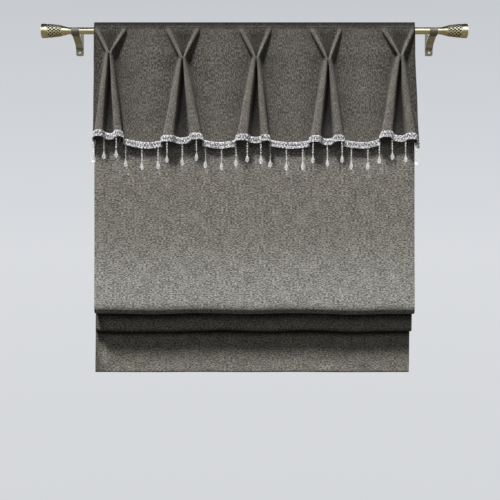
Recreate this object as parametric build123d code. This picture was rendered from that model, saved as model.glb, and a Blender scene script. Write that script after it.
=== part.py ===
from build123d import *

import os
from math import cos, hypot, radians, sin, sqrt

# Roman blind with a pinched, box-pleated valance and a bead fringe, on a rod in two wall brackets.
# Millimetres. The origin is the centre of the four wall screws on the face of the wall.
# +X runs to the right as seen from the room, +Y goes into the wall and +Z is up.

# Width of the cloth, and what the brackets and the rod add to it at each end
CLOTH_WIDTH = 1000.0
BRACKET_MARGIN = 59.0
ROD_OVERRUN = 20.0

# Rod and finials; a finial's profile is given from the rod to its end
ROD_DIAMETER = 22.0
ROD_WALL = 1.2
ROD_PROJECTION = 80.0
FINIAL_LENGTH = 85.0
FINIAL_END_DIAMETER = 46.0
FINIAL_PLACE_SHARES = (0.076, 0.24, 0.54, 1)
FINIAL_RADIUS_SHARES = (0.54, 0.74, 0.87, 1)
FINIAL_SIDES = 36
SPIGOT_LENGTH = 28.0
SPIGOT_EASE = 0.15

# Wall brackets and screws
STRAP_WIDTH = 24.0
STRAP_THICKNESS = 2.5
PLATE_THICKNESS = 2.0
PLATE_MARGIN = 9.5
CORNER_CUT = 3.0
UPPER_SCREW_RISE = 5.5
LOWER_SCREW_DROP = 53.5
FOOT_RISE = 10.5
SHOULDER_REACH = 15.0
SHOULDER_RISE = 15.0
SHELF_LENGTH = 18.0
FOOT_BEND_RADIUS = 10.0
SHOULDER_BEND_RADIUS = 20.0
SHELF_BEND_RADIUS = 30.0
CRADLE_EASE = 0.3
LIP_ANGLE = 38.0
SCREW_RADIUS = 2.0
SCREW_HOLE_EASE = 0.3
SCREW_WALL_LENGTH = 35.0
SCREW_HEAD_RADIUS = 4.5
SCREW_HEAD_HEIGHT = 2.4
ROUND_SIDES = 10

# Blind cloth: heights are measured from the rod's axis, depths between the middles of two layers
CLOTH_THICKNESS = 1.2
LAYER_EASE = 0.6
HEADER_TOP = 25.0
HEADER_SEAM = 17.0
POCKET_SEAM = 26.0
POCKET_EASE = 0.4
SEAM_ROUND = 4.0
FRONT_FOLD_DROP = 884.0
FRONT_FOLD_DEPTH = 30.0
FRONT_TUCK = 84.0
SECOND_STEP = 57.0
SECOND_FOLD_DEPTH = 14.0
SECOND_TUCK = 126.0
TURN_DEPTH = 4.0
FLAP_STEP = 128.0
HEM_DEPTH = 6.0
HEM_HEIGHT = 40.0
FOLD_ROUND_SHARE = 0.9
POCKET_ROUND_SHARE = 0.95

# Battens, their sleeves and rings, and the bottom bar
BATTEN_RADIUS = 2.5
BATTEN_END_INSET = 12.0
BATTEN_PITCH = 267.0
PANEL_BATTENS = 3
SLEEVE_TAPE = 0.8
SLEEVE_HEIGHT = 26.0
SLEEVE_LEG = 10.0
SLEEVE_EASE = 0.4
SLEEVE_MOUTH = 5.6
SLEEVE_BACK = 2.2
SEWN_EASE = 0.3
RING_RADIUS = 6.0
RING_BAR = 1.6
RING_SIDES = 6
RING_PLACE_SHARES = (-0.42, 0.0, 0.42)
BAR_HEIGHT = 30.0
BAR_THICKNESS = 3.4
BAR_EDGE_CUT = 1.0

# Valance: five box pleats, each pinched at the front
PLEAT_COUNT = 5
VALANCE_EASE = 0.9
OUTER_PANEL = 45.0
VALANCE_FLARE = 12.0
PINCH_DROP = 79.0
VALANCE_DROP = 361.0
RIDGE_LIFT = 26.0
SEAM_SPREAD = 50.0
SEAM_SPREAD_OUTER = 40.0
SEAM_REACH = 4.0
PINCH_SPREAD = 26.0
PINCH_REACH = 28.0
HEM_SPREAD = 54.0
HEM_REACH = 25.0
PINCH_LEAN = -1.0
HEM_LEAN = -3.0
PANEL_BULGE = 4.0

# Half a pleat from its middle outwards: place across the spread, and forward reach, at three heights
SEAM_OUTLINE_SHARES = ((0, 1), (0.35, 1), (0.7, 1), (0.86, 1), (0.94, 0.7), (1, 0.3), (1.05, 0))
PINCH_OUTLINE_SHARES = ((0, 0.16), (0.06, 0.5), (0.075, 1), (0.2, 0.86), (0.42, 0.5), (0.7, 0.18), (1, 0))
HEM_OUTLINE_SHARES = ((0, 0.36), (0.32, 0.48), (0.64, 0.98), (0.88, 0.94), (1, 0.6), (0.94, 0.24), (0.82, 0))
RIDGE_LIFT_SHARES = (0.5, 0.64, 1, 0.96, 0.8, 0.5, 0.3)
PANEL_PLACE_SHARES = (0.36, 1)
PANEL_BULGE_SHARES = (0.6, 1)
PANEL_LIFT_SHARES = (0.1, 0)
VALANCE_BODY_SHARE = 0.4
MITRE_LIMIT = 2.5

# Trim of the valance: pinch stitches, braid and bead drops
TACK_LENGTH = 7.0
TACK_RADIUS = 0.9
BRAID_HEIGHT = 20.0
BRAID_OVERHANG = 4.0
BRAID_THICKNESS = 2.0
BRAID_EASE = 0.9
DROP_COUNT = 26
DROP_SIDES = 6
DROP_LENGTH = 68.0
DROP_RADIUS = 5.0
DROP_GAP = 0.8
DROP_HEIGHT_SHARES = (0, 0.42, 0.5, 0.57, 0.8, 1)
DROP_RADIUS_SHARES = (0.16, 0.26, 0.8, 0.2, 1, 0.1)

# Shared places
BRACKET_SPACING = CLOTH_WIDTH + 2 * BRACKET_MARGIN
ROD_LENGTH = BRACKET_SPACING + 2 * ROD_OVERRUN
ROD_RADIUS = ROD_DIAMETER / 2
ROD_HEIGHT = (LOWER_SCREW_DROP - UPPER_SCREW_RISE) / 2
PANEL_OUT = (CLOTH_THICKNESS + LAYER_EASE) / 2
POCKET_OUT = ROD_RADIUS + POCKET_EASE + CLOTH_THICKNESS / 2
POCKET_UPPER = HEADER_SEAM - sqrt(HEADER_SEAM**2 - POCKET_OUT**2)
POCKET_LOWER = POCKET_SEAM - sqrt(POCKET_SEAM**2 - POCKET_OUT**2)
FRONT_BACK_OUT = PANEL_OUT - FRONT_FOLD_DEPTH
SECOND_FRONT_OUT = FRONT_BACK_OUT - TURN_DEPTH
SECOND_BACK_OUT = SECOND_FRONT_OUT - SECOND_FOLD_DEPTH
FLAP_OUT = SECOND_BACK_OUT - TURN_DEPTH
FRONT_TURN_DROP = FRONT_FOLD_DROP - FRONT_TUCK
SECOND_FOLD_DROP = FRONT_FOLD_DROP + SECOND_STEP
SECOND_TURN_DROP = SECOND_FOLD_DROP - SECOND_TUCK
FLAP_DROP = SECOND_FOLD_DROP + FLAP_STEP
BATTEN_LENGTH = CLOTH_WIDTH - 2 * BATTEN_END_INSET
PLEAT_PITCH = (CLOTH_WIDTH - 2 * OUTER_PANEL) / (PLEAT_COUNT - 1)


def across(out, up, x=0.0):
    """A point given by its distance from the rod's axis, out to the room and up."""
    return Vector(x, -ROD_PROJECTION - out, ROD_HEIGHT + up)


def blend(first, second, share):
    """The value at a share of the way from the first to the second."""
    return first + (second - first) * share


def offset_row(points, distance):
    """The same polyline moved to its left by a distance, with mitred corners."""
    moved = []
    for index, (x, y) in enumerate(points):
        ahead = points[min(index + 1, len(points) - 1)]
        behind = points[max(index - 1, 0)]
        first = Vector(x - behind[0], y - behind[1]) if index > 0 else Vector(ahead[0] - x, ahead[1] - y)
        last = Vector(ahead[0] - x, ahead[1] - y) if index < len(points) - 1 else first
        bisector = first.normalized() + last.normalized()
        normal = Vector(-bisector.Y, bisector.X).normalized()
        mitre = min(MITRE_LIMIT, 2 / bisector.length)
        moved.append((x + normal.X * distance * mitre, y + normal.Y * distance * mitre))
    return moved


def sweep_strap(path, width, thickness):
    """A flat strap swept along a path that lies across the blind."""
    start = Plane(origin=path @ 0, x_dir=(1, 0, 0), z_dir=path % 0)
    return sweep(start * Rectangle(width, thickness), path=path)


def extrude_across(outline, length):
    """A profile of (out, up) points, extruded along the blind's width about its middle."""
    profile = make_face(Polyline([across(out, up, -length / 2) for out, up in outline], close=True))
    return extrude(profile, amount=length, dir=(1, 0, 0))


def turned_facets(rings, sides):
    """A closed solid of flat facets about the Z axis, through rings given as (height, radius)."""
    turns = [radians(360) * side / sides for side in range(sides)]
    loops = []
    for height, radius in rings:
        loops.append([Vector(radius * cos(turn), radius * sin(turn), height) for turn in turns])
    faces = [Face(Wire.make_polygon(loops[0])), Face(Wire.make_polygon(loops[-1]))]
    for first, second in zip(loops, loops[1:]):
        for side in range(sides):
            after = (side + 1) % sides
            faces.append(Face(Wire.make_polygon((first[side], first[after], second[after], second[side]))))
    return Solid(Shell(faces))


def curtain_rod():
    """The tube, open at both ends for the finials' spigots."""
    tube = Circle(ROD_RADIUS) - Circle(ROD_RADIUS - ROD_WALL)
    return Plane(origin=across(0, 0, -ROD_LENGTH / 2), z_dir=(1, 0, 0)) * extrude(tube, amount=ROD_LENGTH)


def finial(side):
    """A turned knob that widens to its end, with a spigot inside the tube."""
    spigot_radius = ROD_RADIUS - ROD_WALL - SPIGOT_EASE
    rings = [(-SPIGOT_LENGTH, spigot_radius), (0, spigot_radius), (0, ROD_RADIUS)]
    for place, radius in zip(FINIAL_PLACE_SHARES, FINIAL_RADIUS_SHARES):
        rings.append((place * FINIAL_LENGTH, radius * FINIAL_END_DIAMETER / 2))
    end = Plane(origin=across(0, 0, side * ROD_LENGTH / 2), z_dir=(side, 0, 0))
    return end * turned_facets(rings, FINIAL_SIDES)


def screw_holes(x, heights):
    """Clearance holes through a bracket at the heights of its screws."""
    radius = SCREW_RADIUS + SCREW_HOLE_EASE
    return [
        Plane(origin=(x, 0, ROD_HEIGHT + up), z_dir=(0, 1, 0)) * Cylinder(radius, ROD_PROJECTION)
        for up in heights
    ]


def wall_plate(side):
    """The flat plate behind a bracket, with both screw holes."""
    x = side * BRACKET_SPACING / 2
    height = UPPER_SCREW_RISE + LOWER_SCREW_DROP + 2 * PLATE_MARGIN
    blank = Rectangle(STRAP_WIDTH, height)
    blank = chamfer(blank.vertices(), CORNER_CUT)
    plate = Pos(x, 0, 0) * extrude(Plane.XZ * blank, amount=PLATE_THICKNESS)
    return plate - screw_holes(x, (UPPER_SCREW_RISE, -LOWER_SCREW_DROP))


def bracket_arm(side):
    """One bent strap: a foot on the plate, a rising arm, a shelf under the rod and a front lip."""
    x = side * BRACKET_SPACING / 2
    cradle = ROD_RADIUS + CRADLE_EASE + STRAP_THICKNESS / 2
    foot = PLATE_THICKNESS + STRAP_THICKNESS / 2 - ROD_PROJECTION
    bend = FOOT_RISE - LOWER_SCREW_DROP
    run = FilletPolyline(
        across(foot, -LOWER_SCREW_DROP - PLATE_MARGIN),
        across(foot, bend),
        across(foot + SHOULDER_REACH, bend + SHOULDER_RISE),
        across(-SHELF_LENGTH, -cradle),
        across(0, -cradle),
        radius=(FOOT_BEND_RADIUS, SHOULDER_BEND_RADIUS, SHELF_BEND_RADIUS),
    )
    lip = radians(LIP_ANGLE)
    middle = (lip - radians(90)) / 2
    hook = ThreePointArc(
        across(0, -cradle),
        across(cradle * cos(middle), cradle * sin(middle)),
        across(cradle * cos(lip), cradle * sin(lip)),
    )
    arm = sweep_strap(Wire([*run.edges(), *hook.edges()]), STRAP_WIDTH, STRAP_THICKNESS)
    foot_corners = arm.edges().filter_by(Axis.Y).group_by(Axis.Z)[0]
    arm = chamfer(foot_corners, CORNER_CUT)
    return Pos(x, 0, 0) * arm - screw_holes(x, (-LOWER_SCREW_DROP,))


def wall_screw(side, up, grip):
    """A pan-head screw: a neck in the bracket's hole, and a shank standing out into the wall."""
    shank = extrude(Circle(SCREW_RADIUS), amount=SCREW_WALL_LENGTH + grip)
    neck = extrude(RegularPolygon(SCREW_RADIUS + SCREW_HOLE_EASE / 2, ROUND_SIDES), amount=grip)
    head = extrude(RegularPolygon(SCREW_HEAD_RADIUS, ROUND_SIDES), amount=-SCREW_HEAD_HEIGHT)
    seat = Plane(origin=(side * BRACKET_SPACING / 2, -grip, ROD_HEIGHT + up), z_dir=(0, 1, 0))
    return seat * (shank + neck + head)


def wall_screws():
    """Two screws for each bracket; the lower one also goes through the arm's foot."""
    screws = []
    for side in (-1, 1):
        screws.append(wall_screw(side, UPPER_SCREW_RISE, PLATE_THICKNESS))
        screws.append(wall_screw(side, -LOWER_SCREW_DROP, PLATE_THICKNESS + STRAP_THICKNESS))
    return Compound(screws)


def blind_cloth():
    """One length of cloth: pocket and header, panel, two gathered folds and the hemmed flap."""
    pocket_round = POCKET_OUT * POCKET_ROUND_SHARE
    header_round = PANEL_OUT * FOLD_ROUND_SHARE
    front_round = FRONT_FOLD_DEPTH * FOLD_ROUND_SHARE / 2
    second_round = SECOND_FOLD_DEPTH * FOLD_ROUND_SHARE / 2
    turn_round = TURN_DEPTH * FOLD_ROUND_SHARE / 2
    hem_round = HEM_DEPTH * FOLD_ROUND_SHARE / 2
    corners = (
        (-POCKET_OUT, -POCKET_LOWER, pocket_round),
        (-POCKET_OUT, POCKET_UPPER, pocket_round),
        (-PANEL_OUT, HEADER_SEAM, SEAM_ROUND),
        (-PANEL_OUT, HEADER_TOP, header_round),
        (PANEL_OUT, HEADER_TOP, header_round),
        (PANEL_OUT, HEADER_SEAM, SEAM_ROUND),
        (POCKET_OUT, POCKET_UPPER, pocket_round),
        (POCKET_OUT, -POCKET_LOWER, pocket_round),
        (PANEL_OUT, -POCKET_SEAM, SEAM_ROUND),
        (PANEL_OUT, -FRONT_FOLD_DROP, front_round),
        (FRONT_BACK_OUT, -FRONT_FOLD_DROP, front_round),
        (FRONT_BACK_OUT, -FRONT_TURN_DROP, turn_round),
        (SECOND_FRONT_OUT, -FRONT_TURN_DROP, turn_round),
        (SECOND_FRONT_OUT, -SECOND_FOLD_DROP, second_round),
        (SECOND_BACK_OUT, -SECOND_FOLD_DROP, second_round),
        (SECOND_BACK_OUT, -SECOND_TURN_DROP, turn_round),
        (FLAP_OUT, -SECOND_TURN_DROP, turn_round),
        (FLAP_OUT, -FLAP_DROP, hem_round),
        (FLAP_OUT - HEM_DEPTH, -FLAP_DROP, hem_round),
    )
    path = FilletPolyline(
        across(-PANEL_OUT, -POCKET_SEAM),
        *[across(out, up) for out, up, _ in corners],
        across(FLAP_OUT - HEM_DEPTH, HEM_HEIGHT - FLAP_DROP),
        radius=[corner_round for _, _, corner_round in corners],
    )
    return sweep_strap(Wire(path.edges()), CLOTH_WIDTH, CLOTH_THICKNESS)


def panel_places():
    """Where each batten on the back of the flat panel lies, from the top down."""
    lowest = 2 * FRONT_FOLD_DROP - FRONT_TURN_DROP - BATTEN_PITCH
    out = PANEL_OUT - CLOTH_THICKNESS / 2 - SEWN_EASE - BATTEN_RADIUS
    return [(out, -lowest + row * BATTEN_PITCH) for row in reversed(range(PANEL_BATTENS))]


def turn_places():
    """Where the two battens on top of the gathered turns lie."""
    above = CLOTH_THICKNESS / 2 + SEWN_EASE + BATTEN_RADIUS
    return [
        (FRONT_BACK_OUT - TURN_DEPTH / 2, above - FRONT_TURN_DROP),
        (SECOND_BACK_OUT - TURN_DEPTH / 2, above - SECOND_TURN_DROP),
    ]


def batten(out, up):
    """A round rod across the whole width."""
    start = Plane(origin=across(out, up, -BATTEN_LENGTH / 2), z_dir=(1, 0, 0))
    return start * extrude(RegularPolygon(BATTEN_RADIUS, ROUND_SIDES), amount=BATTEN_LENGTH)


def tape_sleeve(line, out, up):
    """A sewn tape with the given section line, placed about its batten."""
    outer = offset_row(line, SLEEVE_TAPE / 2)
    inner = offset_row(line, -SLEEVE_TAPE / 2)
    outline = [(out + x, up + y) for x, y in outer + inner[::-1]]
    return extrude_across(outline, BATTEN_LENGTH)


def panel_sleeve(out, up):
    """A tape sewn flat to the panel above and below its batten."""
    flat = BATTEN_RADIUS - SLEEVE_TAPE / 2
    back = BATTEN_RADIUS + SLEEVE_EASE + SLEEVE_TAPE / 2
    line = (
        (flat, SLEEVE_HEIGHT / 2),
        (flat, SLEEVE_MOUTH),
        (-back, SLEEVE_BACK),
        (-back, -SLEEVE_BACK),
        (flat, -SLEEVE_MOUTH),
        (flat, -SLEEVE_HEIGHT / 2),
    )
    return tape_sleeve(line, out, up)


def turn_sleeve(out, up):
    """A tape folded over a turn of the cloth and the batten that lies on it."""
    half = TURN_DEPTH / 2 + CLOTH_THICKNESS / 2 + SEWN_EASE + SLEEVE_TAPE / 2
    top = BATTEN_RADIUS + SLEEVE_EASE + SLEEVE_TAPE / 2
    shoulder = top / 2
    foot = BATTEN_RADIUS + SEWN_EASE + SLEEVE_LEG
    line = (
        (half, -foot),
        (half, shoulder),
        (shoulder, top),
        (-shoulder, top),
        (-half, shoulder),
        (-half, -foot),
    )
    return tape_sleeve(line, out, up)


def cord_rings(back, up):
    """A row of flat rings sewn to the back of a sleeve."""
    rim = RegularPolygon(RING_RADIUS, RING_SIDES, major_radius=False)
    ring = rim - RegularPolygon(RING_RADIUS - RING_BAR, RING_SIDES, major_radius=False)
    ring = Pos(across(back - SEWN_EASE - RING_RADIUS, up - RING_BAR / 2)) * extrude(ring, amount=RING_BAR)
    return Compound([Pos(share * CLOTH_WIDTH, 0, 0) * ring for share in RING_PLACE_SHARES])


def bottom_bar():
    """The flat weight in the flap's hem."""
    centre = across(
        FLAP_OUT - HEM_DEPTH / 2, (BAR_HEIGHT + CLOTH_THICKNESS) / 2 + LAYER_EASE - FLAP_DROP)
    bar = Box(BATTEN_LENGTH, BAR_THICKNESS, BAR_HEIGHT)
    return Pos(centre) * chamfer(bar.edges().filter_by(Axis.X), BAR_EDGE_CUT)


def valance_base(height):
    """How far the valance's flat panels stand out from the rod's axis at a height."""
    layers = CLOTH_THICKNESS + VALANCE_EASE
    if height >= HEADER_SEAM:
        return PANEL_OUT + layers
    if height >= 0:
        return POCKET_OUT + layers
    if height >= -PINCH_DROP:
        return POCKET_OUT + layers + blend(0, PINCH_LEAN, -height / PINCH_DROP)
    below = (-height - PINCH_DROP) / (VALANCE_DROP - PINCH_DROP)
    return POCKET_OUT + layers + blend(PINCH_LEAN, HEM_LEAN, below)


def pleat_half(outer, gather, fall):
    """Half a pleat as (x, reach, lift) columns; gather runs seam to pinch, fall runs pinch to hem."""
    seam_spread = SEAM_SPREAD_OUTER if outer else SEAM_SPREAD
    end = OUTER_PANEL + VALANCE_FLARE * fall if outer else PLEAT_PITCH / 2
    columns = []
    outlines = zip(SEAM_OUTLINE_SHARES, PINCH_OUTLINE_SHARES, HEM_OUTLINE_SHARES, RIDGE_LIFT_SHARES)
    for seam, pinch, hem, lift in outlines:
        x = blend(blend(seam[0] * seam_spread, pinch[0] * PINCH_SPREAD, gather), hem[0] * HEM_SPREAD, fall)
        reach = blend(blend(seam[1] * SEAM_REACH, pinch[1] * PINCH_REACH, gather), hem[1] * HEM_REACH, fall)
        columns.append((x, reach, lift))
    root = columns[-1][0]
    bulge = 0 if outer else PANEL_BULGE * blend(gather, 1, fall)
    for place, rise, lift in zip(PANEL_PLACE_SHARES, PANEL_BULGE_SHARES, PANEL_LIFT_SHARES):
        columns.append((blend(root, end, place), bulge * rise, lift))
    return columns


def valance_row(height, gather, fall, stand_off=0.0):
    """One row of the valance from left to right: (x, out) and the rise of each column at the hem."""
    row = []
    for pleat in range(PLEAT_COUNT):
        middle = (pleat - (PLEAT_COUNT - 1) / 2) * PLEAT_PITCH
        left = pleat_half(pleat == 0, gather, fall)
        right = pleat_half(pleat == PLEAT_COUNT - 1, gather, fall)
        skip = 0 if pleat == 0 else 1
        row += [(middle - x, reach, lift) for x, reach, lift in left[::-1]][skip:]
        row += [(middle + x, reach, lift) for x, reach, lift in right[1:]]
    flat = 0 if height >= HEADER_SEAM else 1
    outline = [(x, valance_base(height) + reach * flat) for x, reach, _ in row]
    lifts = [lift * RIDGE_LIFT * fall for _, _, lift in row]
    placed = offset_row(outline, stand_off)
    return [across(out, height + lift, x) for (x, out), lift in zip(placed, lifts)]


def hem_row(above, stand_off):
    """A row near the hem, a length above it or, where negative, below it."""
    fall = 1 - above / (VALANCE_DROP - PINCH_DROP)
    return valance_row(above - VALANCE_DROP, 1, fall, stand_off)


def facets(rows):
    """Flat three-cornered faces between neighbouring rows of points."""
    faces = []
    for upper, lower in zip(rows, rows[1:]):
        for a, b, c, d in zip(upper, upper[1:], lower[1:], lower):
            faces += [Face(Wire.make_polygon(corners)) for corners in ((a, b, c), (a, c, d))]
    return faces


def sheet_between(front, back):
    """A closed faceted solid between two grids of points."""
    faces = facets(front) + facets(back)
    for edge in (0, -1):
        faces += facets([front[edge], back[edge]])
        faces += facets([[row[edge] for row in front], [row[edge] for row in back]])
    return Solid(Shell(faces))


def valance():
    """The pleated cloth in front of the header, from the seam past the pinch to the hem."""
    rod_share = (HEADER_SEAM - POCKET_UPPER) / (HEADER_SEAM + PINCH_DROP)
    levels = ((HEADER_TOP, 0, 0), (HEADER_SEAM, 0, 0), (POCKET_UPPER, rod_share, 0), (-PINCH_DROP, 1, 0))
    body = (blend(-PINCH_DROP, -VALANCE_DROP, VALANCE_BODY_SHARE), 1, VALANCE_BODY_SHARE)
    levels += (body, (-VALANCE_DROP, 1, 1))
    front = [valance_row(*level, CLOTH_THICKNESS / 2) for level in levels]
    back = [valance_row(*level, -CLOTH_THICKNESS / 2) for level in levels]
    return sheet_between(front, back)


def beaded_braid():
    """The braid sewn along the front of the valance's hem, standing a little below it."""
    near = CLOTH_THICKNESS / 2 + BRAID_EASE
    far = near + BRAID_THICKNESS
    edges = (BRAID_HEIGHT - BRAID_OVERHANG, -BRAID_OVERHANG)
    front = [hem_row(edge, far) for edge in edges]
    back = [hem_row(edge, near) for edge in edges]
    return sheet_between(front, back)


def pleat_tacks():
    """The stitches that hold the two edges of each pleat together at the front."""
    crest = valance_base(-PINCH_DROP) + PINCH_REACH + MITRE_LIMIT * CLOTH_THICKNESS / 2
    out = crest + SEWN_EASE + TACK_RADIUS
    tacks = []
    for pleat in range(PLEAT_COUNT):
        middle = (pleat - (PLEAT_COUNT - 1) / 2) * PLEAT_PITCH
        start = Plane(origin=across(out, -PINCH_DROP, middle - TACK_LENGTH / 2), z_dir=(1, 0, 0))
        tacks.append(start * extrude(RegularPolygon(TACK_RADIUS, DROP_SIDES), amount=TACK_LENGTH))
    return Compound(tacks)


def bead_drop():
    """One strand: beads on a thread, ending in a faceted drop, hung from its top."""
    rings = [
        (-height * DROP_LENGTH, radius * DROP_RADIUS)
        for height, radius in zip(DROP_HEIGHT_SHARES, DROP_RADIUS_SHARES)
    ]
    return turned_facets(rings, DROP_SIDES)


def drop_places():
    """Evenly spaced places along the lower edge of the braid."""
    middle = CLOTH_THICKNESS / 2 + BRAID_EASE + BRAID_THICKNESS / 2
    line = hem_row(-BRAID_OVERHANG, middle)
    lengths = [hypot(b.X - a.X, b.Y - a.Y) for a, b in zip(line, line[1:])]
    places = []
    for drop in range(DROP_COUNT):
        along = (drop + 0.5) / DROP_COUNT * sum(lengths)
        span = 0
        while along > lengths[span]:
            along -= lengths[span]
            span += 1
        places.append(line[span] + (line[span + 1] - line[span]) * (along / lengths[span]))
    return places


parts = {
    "wall_screws": wall_screws(),
    "curtain_rod": curtain_rod(),
    "blind_cloth": blind_cloth(),
    "bottom_bar": bottom_bar(),
    "valance": valance(),
    "pleat_tacks": pleat_tacks(),
    "beaded_braid": beaded_braid(),
}
for name, side in (("left", -1), ("right", 1)):
    parts[f"finial_{name}"] = finial(side)
    parts[f"wall_plate_{name}"] = wall_plate(side)
    parts[f"bracket_arm_{name}"] = bracket_arm(side)

sleeve_back = BATTEN_RADIUS + SLEEVE_EASE + SLEEVE_TAPE
turn_back = TURN_DEPTH / 2 + CLOTH_THICKNESS / 2 + SEWN_EASE + SLEEVE_TAPE
rows = [(place, panel_sleeve, sleeve_back) for place in panel_places()]
rows += [(place, turn_sleeve, turn_back) for place in turn_places()]
for number, ((out, up), sleeve, back) in enumerate(rows, 1):
    parts[f"batten_{number}"] = batten(out, up)
    parts[f"batten_sleeve_{number}"] = sleeve(out, up)
    parts[f"cord_rings_{number}"] = cord_rings(out - back, up)

strand = bead_drop()
for number, place in enumerate(drop_places(), 1):
    parts[f"bead_drop_{number:02d}"] = Pos(place - Vector(0, 0, DROP_GAP)) * strand

os.makedirs("parts", exist_ok=True)
for node, shape in parts.items():
    export_step(shape, f"parts/{node}.step")
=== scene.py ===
from bisect import bisect
from math import atan2, hypot, pi, radians, sin

import bmesh
import bpy
from mathutils import Matrix, Vector, noise


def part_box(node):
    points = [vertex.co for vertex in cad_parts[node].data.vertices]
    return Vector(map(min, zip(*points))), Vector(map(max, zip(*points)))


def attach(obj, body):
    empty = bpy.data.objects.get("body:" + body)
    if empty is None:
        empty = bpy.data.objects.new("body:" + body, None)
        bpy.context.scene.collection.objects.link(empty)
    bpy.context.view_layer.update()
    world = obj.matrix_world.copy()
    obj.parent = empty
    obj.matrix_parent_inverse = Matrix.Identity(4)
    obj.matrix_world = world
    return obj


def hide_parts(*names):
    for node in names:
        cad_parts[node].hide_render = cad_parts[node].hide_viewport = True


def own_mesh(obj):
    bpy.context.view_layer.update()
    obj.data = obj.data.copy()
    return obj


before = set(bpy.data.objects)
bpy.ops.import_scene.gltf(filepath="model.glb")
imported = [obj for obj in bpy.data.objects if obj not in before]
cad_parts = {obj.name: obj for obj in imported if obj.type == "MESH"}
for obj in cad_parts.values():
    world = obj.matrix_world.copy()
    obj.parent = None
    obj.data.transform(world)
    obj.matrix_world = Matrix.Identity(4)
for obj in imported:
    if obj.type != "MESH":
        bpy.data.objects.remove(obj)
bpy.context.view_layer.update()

# The studio: a level camera in front of the blind, one hard high light a little from the left,
# a broad weak one low in front, one behind, and a pale floor below.
CAMERA_PLACE = (-0.014, -3.04, -0.661)
CAMERA_LENS = 68.2
FLOOR_HEIGHT = -1.9
FLOOR_SIZE = 4.0
FLOOR_BACK = 1.4
FLOOR_LIT = (0.04, 0.04, 0.041, 1)
FLOOR_MIRRORED = (0.103, 0.089, 0.055, 1)
FLOOR_SEEN = (0.265, 0.271, 0.282, 1)
FLOOR_ROUGHNESS = 0.9
SHADE_LIGHT = (0.004, 0.0041, 0.0044, 1.0)
BACKDROP = ((0.36, (0.66, 0.675, 0.70)), (0.5, (0.70, 0.715, 0.745)), (0.64, (0.56, 0.585, 0.61)))
REFLECTED_ROOM = (
    (0.0, (0.16, 0.115, 0.045)), (0.28, (0.20, 0.16, 0.075)), (0.40, (0.31, 0.28, 0.18)),
    (0.50, (0.62, 0.62, 0.58)), (0.59, (1.5, 1.51, 1.48)), (0.79, (1.5, 1.51, 1.48)),
    (0.84, (0.12, 0.12, 0.12)), (1.0, (0.05, 0.05, 0.055)))


def shader_node(tree, kind, inputs=None, **settings):
    """A shader node; each input is a value or another node's output."""
    made = tree.nodes.new(kind)
    for name, value in settings.items():
        setattr(made, name, value)
    for name, value in (inputs or {}).items():
        if isinstance(value, bpy.types.NodeSocket):
            tree.links.new(value, made.inputs[name])
        else:
            made.inputs[name].default_value = value
    return made


def number(tree, operation, first, second):
    """A Math node's result."""
    return shader_node(tree, "ShaderNodeMath", {0: first, 1: second}, operation=operation).outputs[0]


def graded(tree, factor, stops):
    """A colour ramp's result; the stops are (place, colour) in order."""
    ramp = shader_node(tree, "ShaderNodeValToRGB", {"Fac": factor})
    marks = ramp.color_ramp.elements
    while len(marks) < len(stops):
        marks.new(1.0)
    for mark, (place, colour) in zip(marks, stops):
        mark.position = place
        mark.color = (*colour, 1)
    return ramp.outputs[0]


def colour_mix(tree, factor, first, second, blend="MIX"):
    """Two colours mixed by a factor; each is a value or another node's output."""
    made = shader_node(
        tree, "ShaderNodeMix", {0: factor, 6: first, 7: second}, data_type="RGBA", blend_type=blend)
    return made.outputs[2]


def mesh_of(name, bm):
    """A mesh made of a finished bmesh, which is freed."""
    mesh = bpy.data.meshes.new(name)
    bm.to_mesh(mesh)
    bm.free()
    return mesh


def placed(name, data):
    """A new object in the scene, at the origin."""
    made = bpy.data.objects.new(name, data)
    scene.collection.objects.link(made)
    return made


scene = bpy.context.scene
scene.view_settings.view_transform = "Standard"
camera_data = bpy.data.cameras.new("photo_camera")
camera_data.lens = CAMERA_LENS
camera = placed("photo_camera", camera_data)
camera.location = CAMERA_PLACE
camera.rotation_euler = (radians(90), 0, 0)
scene.camera = camera

world = bpy.data.worlds.new("studio")
scene.world = world
world.use_nodes = True
sky = world.node_tree
sky.nodes.clear()
ray = shader_node(sky, "ShaderNodeLightPath").outputs
towards = shader_node(sky, "ShaderNodeTexCoord").outputs["Generated"]
height = shader_node(sky, "ShaderNodeSeparateXYZ", {0: towards}).outputs["Z"]
height = number(sky, "MULTIPLY", number(sky, "ADD", height, 1.0), 0.5)
looked_at = number(sky, "MAXIMUM", ray["Is Camera Ray"], ray["Is Transmission Ray"])
backdrop = colour_mix(sky, looked_at, SHADE_LIGHT, graded(sky, height, BACKDROP))
shade = colour_mix(sky, ray["Is Glossy Ray"], backdrop, graded(sky, height, REFLECTED_ROOM))
glow = shader_node(sky, "ShaderNodeBackground", {"Color": shade, "Strength": 1.0})
shader_node(sky, "ShaderNodeOutputWorld", {"Surface": glow.outputs[0]})


def soft_sun(name, strength, softness, elevation, turn):
    """A soft distant light; turn is measured from straight in front, positive to the right."""
    lamp = bpy.data.lights.new(name, "SUN")
    lamp.energy = strength
    lamp.angle = radians(softness)
    lit = placed(name, lamp)
    lit.rotation_euler = (radians(90 - elevation), 0, radians(turn))
    return lit


key_light = soft_sun("key_light", strength=7.6, softness=10, elevation=66.5, turn=-33)
key_light.visible_glossy = False
soft_sun("front_light", strength=0.38, softness=25, elevation=40, turn=6)
back_light = soft_sun("back_light", strength=1.4, softness=40, elevation=35, turn=160)
back_light.visible_glossy = False

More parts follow.
